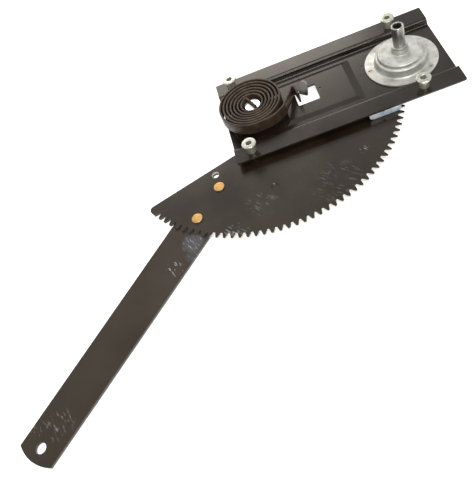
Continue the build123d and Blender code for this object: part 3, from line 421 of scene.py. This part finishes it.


# Plated steel: cloudy zinc with fine turning or handling marks.  With Upright below 1 the clouds are
# drawn out into upright light and dark streaks, which are painted reflection.
plating_group, plating_in, plating_out = start_group(
    "zinc_clouds", [("Scale", 120.0), ("Fine Scale", 900.0), ("Upright", 1.0)],
    ["Clouds", "Grain"])
plating_place = add_node(plating_group, "ShaderNodeTexCoord")
plating_split = add_node(plating_group, "ShaderNodeSeparateXYZ",
                         Vector=plating_place.outputs["Object"])
plating_rise = add_node(plating_group, "ShaderNodeMath", {"operation": "MULTIPLY"},
                        i0=plating_split.outputs["Z"], i1=plating_in.outputs["Upright"])
plating_vector = add_node(plating_group, "ShaderNodeCombineXYZ", X=plating_split.outputs["X"],
                          Y=plating_split.outputs["Y"], Z=plating_rise.outputs[0])
clouds = add_node(plating_group, "ShaderNodeTexNoise", Vector=plating_vector.outputs[0],
                  Scale=plating_in.outputs["Scale"], Detail=4.0, Roughness=0.6)
grain = add_node(plating_group, "ShaderNodeTexNoise", Vector=plating_place.outputs["Object"],
                 Scale=plating_in.outputs["Fine Scale"], Detail=3.0)
plating_group.links.new(clouds.outputs["Fac"], plating_out.inputs["Clouds"])
plating_group.links.new(grain.outputs["Fac"], plating_out.inputs["Grain"])


def metal(name, clean, dull, smooth, rough, scale=120.0, fine=900.0, relief=0.08, metallic=1.0,
          upright=1.0, ior=1.5):
    """Bare or plated metal that varies between a clean and a dull tone."""
    made = bpy.data.materials.new(name)
    made.use_nodes = True
    tree = made.node_tree
    bsdf = tree.nodes["Principled BSDF"]
    bsdf.inputs["Metallic"].default_value = metallic
    bsdf.inputs["IOR"].default_value = ior
    plating = use_group(tree, plating_group, Scale=scale, Fine_Scale=fine, Upright=upright)
    share = add_node(tree, "ShaderNodeMapRange", Value=plating.outputs["Clouds"], i1=0.35, i2=0.68)
    tree.links.new(mix_colour(tree, share.outputs[0], clean, dull), bsdf.inputs["Base Color"])
    finish = add_node(tree, "ShaderNodeMapRange", Value=share.outputs[0], i3=smooth, i4=rough)
    tree.links.new(finish.outputs[0], bsdf.inputs["Roughness"])
    bump = add_node(tree, "ShaderNodeBump", Strength=relief, Distance=0.0003,
                    Height=plating.outputs["Grain"])
    tree.links.new(bump.outputs[0], bsdf.inputs["Normal"])
    return made


NUT_SPACING_X, NUT_SPACING_Y = 179.0, 102.6
NUT_SPOTS = [(x * NUT_SPACING_X, y * NUT_SPACING_Y) for x in (-0.5, 0.5) for y in (-0.5, 0.5)]
nut_outline = rounded_path(
    [(2.9, -14.4), (5.15, -14.4), (5.15, -13.6), (4.2, -13.6), (4.2, -11.6), (5.15, -11.6),
     (5.15, -3.1), (7.4, -2.4), (7.4, 0.0), (3.2, 0.0), (2.9, -0.3), (2.9, -14.4)],
    [0.3, 0.1, 0.05, 0.05, 0.3, 0.5, 0.8, 0.8, 0.15, 0.1], 5)[:-1]
# The plating's tone runs in upright light and dark streaks on the nut bodies, which are painted
# reflection.
nut_plating = metal("nut_plating", (0.62, 0.62, 0.54, 1.0), (0.26, 0.27, 0.22, 1.0), 0.18, 0.42,
                    scale=420.0, metallic=0.6, upright=0.15)
nuts = mesh_piece("spacer_nut_set", [turned_shape(nut_outline, spot) for spot in NUT_SPOTS],
                  nut_plating)
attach(nuts, "base")
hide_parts("spacer_nuts")

# ---- Hub cover -------------------------------------------------------------------------------
# Drawn steel cup in two steps over the brake, zinc plated, with a grooved rim, a wide flange on
# the floor and a collar for the spindle's bush.
HUB_SPOT = (84.70, 0.0)
HUB_SHEET = 1.6
hub_middle = rounded_path(
    [(37.0, -17.0), (26.3, -17.0), (25.2, -8.3), (22.6, -8.0), (22.2, -4.1), (20.4, -4.5),
     (19.4, -4.1), (8.0, -4.1), (7.6, 2.4)],
    [3.2, 1.3, 0.9, 1.3, 0.7, 0.7, 1.7], 7)
along = np.gradient(hub_middle, axis=0)
along /= np.linalg.norm(along, axis=1)[:, None]
square = np.stack([along[:, 1], -along[:, 0]], 1) * HUB_SHEET / 2
hub_outline = np.concatenate([hub_middle + square, (hub_middle - square)[::-1]])
hub_plating = metal("hub_plating", (0.57, 0.57, 0.53, 1.0), (0.34, 0.34, 0.31, 1.0), 0.36, 0.56,
                    scale=95.0, metallic=0.6)
cover = mesh_piece("hub_cover", [turned_shape(hub_outline, HUB_SPOT, 128)], hub_plating)
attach(cover, "base")
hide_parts("hub_housing")

# ---- Crank spindle ---------------------------------------------------------------------------
# Hollow steel spindle, phosphated dark, with a bore for the handle's screw.
spindle_outline = rounded_path(
    [(4.4, -8.2), (0.02, -8.2), (0.02, -14.0), (6.25, -14.0), (6.25, 3.25), (5.5, 3.25),
     (5.5, 4.25), (6.25, 4.25), (6.25, 27.2), (4.4, 27.2), (4.4, -8.2)],
    [0.1, 0.01, 0.3, 0.05, 0.05, 0.05, 0.05, 0.6, 0.5], 4)[:-1]
# Its phosphated tone runs in upright light and dark streaks, which are painted reflection.
spindle_steel = metal("spindle_steel", (0.48, 0.47, 0.44, 1.0), (0.17, 0.16, 0.145, 1.0), 0.24, 0.42,
                      scale=420.0, upright=0.08)
spindle = mesh_piece("crank_spindle_tube", [turned_shape(spindle_outline, HUB_SPOT, 96)],
                     spindle_steel)
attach(spindle, "crank")
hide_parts("crank_spindle")

# ---- Lift arm --------------------------------------------------------------------------------
# Long flat steel arm, blanked and enamelled, riveted under the sector; its root is cut along the
# sector's straight edge, and an eye of the same sheet sits on the pivot.
PIVOT_SPOT = np.array([-74.05, 0.0])
ARM_TURN = math.radians(-134.45)
ARM_SIDESTEP = 10.8
ARM_ALONG = np.array([math.cos(ARM_TURN), math.sin(ARM_TURN)])
ARM_ASIDE = np.array([-ARM_ALONG[1], ARM_ALONG[0]])
ARM_FOOT = PIVOT_SPOT + ARM_SIDESTEP * ARM_ASIDE
ARM_LEVELS = (-26.3, -23.3)
ARM_SEAM = 200.0
ARM_END = 397.1
ROOT_HALF_WIDTH = 22.15
SEAM_HALF_WIDTH = 21.63
TIP_RADIUS = 42.0
TIP_SWEEP = 28.59
RIVET_STATIONS = (94.0, 135.1)
STUD_HOLE = (384.4, 0.0)
STUD_HOLE_RADIUS = 5.0
LIGHTENING_HOLE = (81.8, -13.1)
LIGHTENING_RADIUS = 4.1
EYE_BORE, EYE_RADIUS = 6.1, 29.0


def dense(line, gap=0.8):
    """The same line with points at most the gap apart."""
    length = np.concatenate([[0.0], np.cumsum(np.linalg.norm(np.diff(line, axis=0), axis=1))])
    keep = np.concatenate([[True], np.diff(length) > 1e-6])
    line, length = line[keep], length[keep]
    at = np.unique(np.concatenate([length, np.linspace(0, length[-1], int(length[-1] / gap) + 2)]))
    at = at[np.concatenate([[True], np.diff(at) > 0.02])]
    return np.stack([np.interp(at, length, line[:, 0]), np.interp(at, length, line[:, 1])], 1)


def holed_plate(outline, hole, radius, low, high, seam, edge=0.25):
    """Plate between a closed convex outline, given anticlockwise in the arm's frame, and a hole.

    One parameter runs round the outline and the other round the section: from the hole's wall over
    the top to the outer wall and back underneath.  Each outline point is joined to the hole's point
    in the same direction.  Both edges are chamfered, except along the seam's station."""
    line = dense(outline, 3.0)[:-1]
    ahead = np.roll(line, -1, 0) - np.roll(line, 1, 0)
    ahead /= np.linalg.norm(ahead, axis=1)[:, None]
    inward = np.stack([-ahead[:, 1], ahead[:, 0]], 1)
    outer_edge = np.where(np.abs(line[:, :1] - seam) < 0.01, 0.0, edge)
    away = line - np.array(hole)
    away /= np.linalg.norm(away, axis=1)[:, None]
    rim = np.array(hole) + away * radius
    rings = [(rim, high - edge), (rim + away * edge, high), (line + inward * outer_edge, high),
             (line, high - outer_edge[:, 0]), (line, low + outer_edge[:, 0]),
             (line + inward * outer_edge, low), (rim + away * edge, low), (rim, low + edge)]
    place = np.stack([ring for ring, _ in rings], 1)
    height = np.stack([np.broadcast_to(level, len(line)) for _, level in rings], 1)
    plan = ARM_FOOT + place[..., :1] * ARM_ALONG + place[..., 1:] * ARM_ASIDE
    points = np.concatenate([plan, height[..., None]], -1).reshape(-1, 3) * MM
    return points, grid_faces(len(line), len(rings), flipped=True)


# The root's far end is slanted, from (81.3, -22.15) to (2.15, 22.15), along the sector's edge.
root_line = rounded_path(
    [(ARM_SEAM, 0.0), (ARM_SEAM, SEAM_HALF_WIDTH), (RIVET_STATIONS[1], ROOT_HALF_WIDTH),
     (2.15, ROOT_HALF_WIDTH), (81.3, -ROOT_HALF_WIDTH), (RIVET_STATIONS[1], -ROOT_HALF_WIDTH),
     (ARM_SEAM, -SEAM_HALF_WIDTH), (ARM_SEAM, 0.0)],
    [0.02, 20.0, 5.0, 12.0, 20.0, 0.02], 8)
tip_angle = np.radians(np.linspace(-TIP_SWEEP, TIP_SWEEP, 25))
tip_arc = np.stack([ARM_END - TIP_RADIUS + TIP_RADIUS * np.cos(tip_angle),
                    TIP_RADIUS * np.sin(tip_angle)], 1)
tip_line = np.concatenate([[(ARM_SEAM, 0.0), (ARM_SEAM, -SEAM_HALF_WIDTH)], tip_arc,
                           [(ARM_SEAM, SEAM_HALF_WIDTH), (ARM_SEAM, 0.0)]])
eye_outline = [(EYE_BORE, ARM_LEVELS[0]), (EYE_RADIUS, ARM_LEVELS[0]), (EYE_RADIUS, ARM_LEVELS[1]),
               (EYE_BORE, ARM_LEVELS[1])]
# Of the pale places on the arm's enamel, the two by the tip are painted light: streaked paler patches
# for the brighter light on the arm's end.
arm = mesh_piece("arm_blade",
                 [holed_plate(root_line, LIGHTENING_HOLE, LIGHTENING_RADIUS, *ARM_LEVELS, ARM_SEAM),
                  holed_plate(tip_line, STUD_HOLE, STUD_HOLE_RADIUS, *ARM_LEVELS, ARM_SEAM),
                  turned_shape(eye_outline, PIVOT_SPOT)],
                 enamel("arm_enamel", (0.018, 0.012, 0.006, 1.0), (0.036, 0.027, 0.018, 1.0), 0.8,
                        0.24, 0.12, ior=1.44,
                        wear_and_painted_light=[((-191.7, -150.1, -23.3), 11.0, 0.9, (0.42, 0.43, 0.45, 1.0), 1.0),
                              ((-170.1, -128.0, -23.3), 13.0, 0.9, (0.30, 0.33, 0.40, 1.0), 0.85),
                              ((-172.0, -143.6, -23.3), 10.0, 0.8, (0.22, 0.25, 0.31, 1.0), 0.9),
                              ((-317.0, -267.0, -23.3), 16.0, 0.6, (0.26, 0.25, 0.23, 1.0), 1.0),
                              ((-341.0, -262.0, -23.3), 12.0, 0.6, (0.26, 0.25, 0.23, 1.0), 1.0)]))
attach(arm, "sector")
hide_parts("lift_arm")

# ---- Arm rivets ------------------------------------------------------------------------------
# Two steel rivets with a low head, yellow passivated, closed under the arm.
rivet_outline = rounded_path(
    [(0.02, -27.7), (5.7, -27.7), (5.7, -26.3), (4.0, -26.3), (4.0, -20.8), (5.7, -20.8),
     (5.7, -19.2), (0.02, -19.2)],
    [0.7, 0.1, 0.05, 0.05, 0.1, 0.7], 5)
rivet_plating = metal("rivet_plating", (0.52, 0.33, 0.13, 1.0), (0.40, 0.22, 0.07, 1.0), 0.4, 0.5,
                      scale=220.0)
rivet_spots = [ARM_FOOT + station * ARM_ALONG for station in RIVET_STATIONS]
rivets = mesh_piece("arm_rivet_pair", [turned_shape(rivet_outline, spot) for spot in rivet_spots],
                    rivet_plating)
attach(rivets, "sector")
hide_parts("arm_rivets")

# ---- Counter spring --------------------------------------------------------------------------
# Flat spring steel strip wound on edge: a tang in the post's slot, the coil, and a free run with a
# hairpin by the floor's tab.  The tang and the first turn move with the post.
COIL_FROM = 145.0
COIL_TO = 2436.0
INNER_TURN_END = 520.0
COIL_RADII = (10.2, 34.3)
COIL_CENTRE = PIVOT_SPOT + (-0.9, -1.0)
COIL_DRIFT = 3.6
SLOT_TURN = math.radians(113.0)
TANG_REACH = 7.8
HAIRPIN_DROP = 6.4
DROP_LENGTH, DROP_BEFORE_END = 29.0, 46.0


def coil_line(first, last, step=5.0):
    """Coil's centreline in the plane: the radius grows evenly with the winding angle, about a
    centre that moves evenly towards +Y."""
    angle = np.linspace(first, last, int(round((last - first) / step)) + 1)
    share = (angle - COIL_FROM) / (COIL_TO - COIL_FROM)
    radius = COIL_RADII[0] + (COIL_RADII[1] - COIL_RADII[0]) * share
    turn = np.radians(angle)
    x = COIL_CENTRE[0] + radius * np.cos(turn)
    y = COIL_CENTRE[1] + COIL_DRIFT * share + radius * np.sin(turn)
    return np.stack([x, y], 1)


def strip_shape(line, sink=0.0, thick=2.1, low=-9.6, high=3.1, edge=0.5, steps=4):
    """Strip with rounded edges carried along a flat line.

    A point of the section stands u beside the line and v high; its place is line + u times the
    line's normal, at height v less the line's own sinking.  Both ends are closed."""
    ahead = np.gradient(line, axis=0)
    ahead /= np.linalg.norm(ahead, axis=1)[:, None]
    beside = np.stack([-ahead[:, 1], ahead[:, 0]], 1)
    half = thick / 2
    corners = [(half, low), (half, high), (-half, high), (-half, low)]
    ring = []
    for index, (u, v) in enumerate(corners):
        centre = (u - math.copysign(edge, u), v + (edge if v == low else -edge))
        for step in range(steps + 1):
            angle = math.radians(-90 + 90 * index + 90 * step / steps)
            ring.append((centre[0] + edge * math.cos(angle), centre[1] + edge * math.sin(angle)))
    ring = np.array(ring)
    place = line[:, None, :] + ring[None, :, :1] * -beside[:, None, :]
    height = np.broadcast_to(ring[None, :, 1], place.shape[:2]) - np.reshape(sink, (-1, 1))
    points = np.concatenate([place, height[..., None]], -1).reshape(-1, 3) * MM
    count = len(ring)
    faces = grid_faces(len(line), count, closed=False, flipped=True).tolist()
    faces.append(list(range(count))[::-1])
    faces.append(list(range((len(line) - 1) * count, len(line) * count)))
    return points, faces


coil_start = coil_line(COIL_FROM, COIL_FROM + 1, 0.5)
lead = (coil_start[1] - coil_start[0]) / np.linalg.norm(coil_start[1] - coil_start[0])
slot_way = np.array([math.cos(SLOT_TURN), math.sin(SLOT_TURN)])
away = coil_start[0] - PIVOT_SPOT
reach = (away[0] * lead[1] - away[1] * lead[0]) / (slot_way[0] * lead[1] - slot_way[1] * lead[0])
tang_line = rounded_path([PIVOT_SPOT - slot_way * TANG_REACH, PIVOT_SPOT + slot_way * reach,
                          coil_start[0]], [1.5], 12)
inner_line = np.concatenate([tang_line[:-1], coil_line(COIL_FROM, INNER_TURN_END)])

outer_line = coil_line(INNER_TURN_END, COIL_TO)
run_line = rounded_path(
    [outer_line[-1], PIVOT_SPOT + (18.1, -29.9), PIVOT_SPOT + (30.4, -20.9),
     PIVOT_SPOT + (46.1, 13.0), PIVOT_SPOT + (48.2, -6.0)],
    [30.0, 7.0, 1.9], 12)
outer_line = np.concatenate([outer_line[:-1], dense(run_line)])
# The strip sinks from its last knee to the hairpin: an even slope with eased ends.
run_length = np.concatenate([[0.0], np.cumsum(np.linalg.norm(np.diff(outer_line, axis=0), axis=1))])
slope_share = np.clip((run_length - run_length[-1] + DROP_BEFORE_END) / DROP_LENGTH, 0.0, 1.0)
sinking = HAIRPIN_DROP * slope_share ** 2 * (3.0 - 2.0 * slope_share)

spring_steel = metal("spring_steel", (0.060, 0.040, 0.025, 1.0), (0.030, 0.019, 0.011, 1.0), 0.30, 0.48,
                     scale=150.0, metallic=0.0, ior=1.28)
coil = mesh_piece("spring_coil", [strip_shape(outer_line, sinking)], spring_steel)
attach(coil, "base")
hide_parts("counter_spring")
tang = mesh_piece("spring_tang", [strip_shape(dense(inner_line))], spring_steel)
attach(tang, "sector")

# ---- Pivot post ------------------------------------------------------------------------------
# Turned steel post with a slot for the spring's tang, its end left bright.
bright_steel = metal("bright_steel", (0.86, 0.86, 0.84, 1.0), (0.70, 0.70, 0.68, 1.0), 0.25, 0.4,
                     scale=300.0)
dress(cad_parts["pivot_post"], bright_steel)
dress(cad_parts["staking_washer"], bright_steel)

# ---- Sector guide ----------------------------------------------------------------------------
# Zinc plated bracket under the near flange, which holds the sector's rim down.
# The plating's clouds run from near white to blue, and the blue is painted reflection.
guide_plating = metal("guide_plating", (0.95, 0.98, 0.92, 1.0), (0.30, 0.40, 0.55, 1.0), 0.2, 0.35,
                      scale=110.0, metallic=0.1)
dress(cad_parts["sector_guide"], guide_plating)

# ---- Snap ring and rivets of the hub ---------------------------------------------------------
# Small steel fastenings of the hub: a snap ring on the spindle and flush rivets in the flange.
dress(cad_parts["retaining_ring"], hub_plating)
dress(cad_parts["housing_rivets"],
      metal("flush_rivet_plating", (0.58, 0.52, 0.38, 1.0), (0.46, 0.40, 0.28, 1.0), 0.4, 0.55))

# ---- Gear, brake and bushes inside -----------------------------------------------------------
# Oiled steel pinion, carrier, drum and washers, and sintered bronze bushes.
oiled_steel = metal("oiled_steel", (0.36, 0.35, 0.34, 1.0), (0.24, 0.23, 0.22, 1.0), 0.25, 0.45)
for name in ("pinion_gear", "pinion_carrier", "brake_drum", "spindle_driver", "thrust_washer",
             "pivot_washer", "brake_spring"):
    dress(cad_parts[name], oiled_steel)
bush_bronze = metal("bush_bronze", (0.58, 0.42, 0.22, 1.0), (0.42, 0.29, 0.15, 1.0), 0.35, 0.5)
for name in ("pivot_bush", "spindle_bush", "pinion_bush"):
    dress(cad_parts[name], bush_bronze)
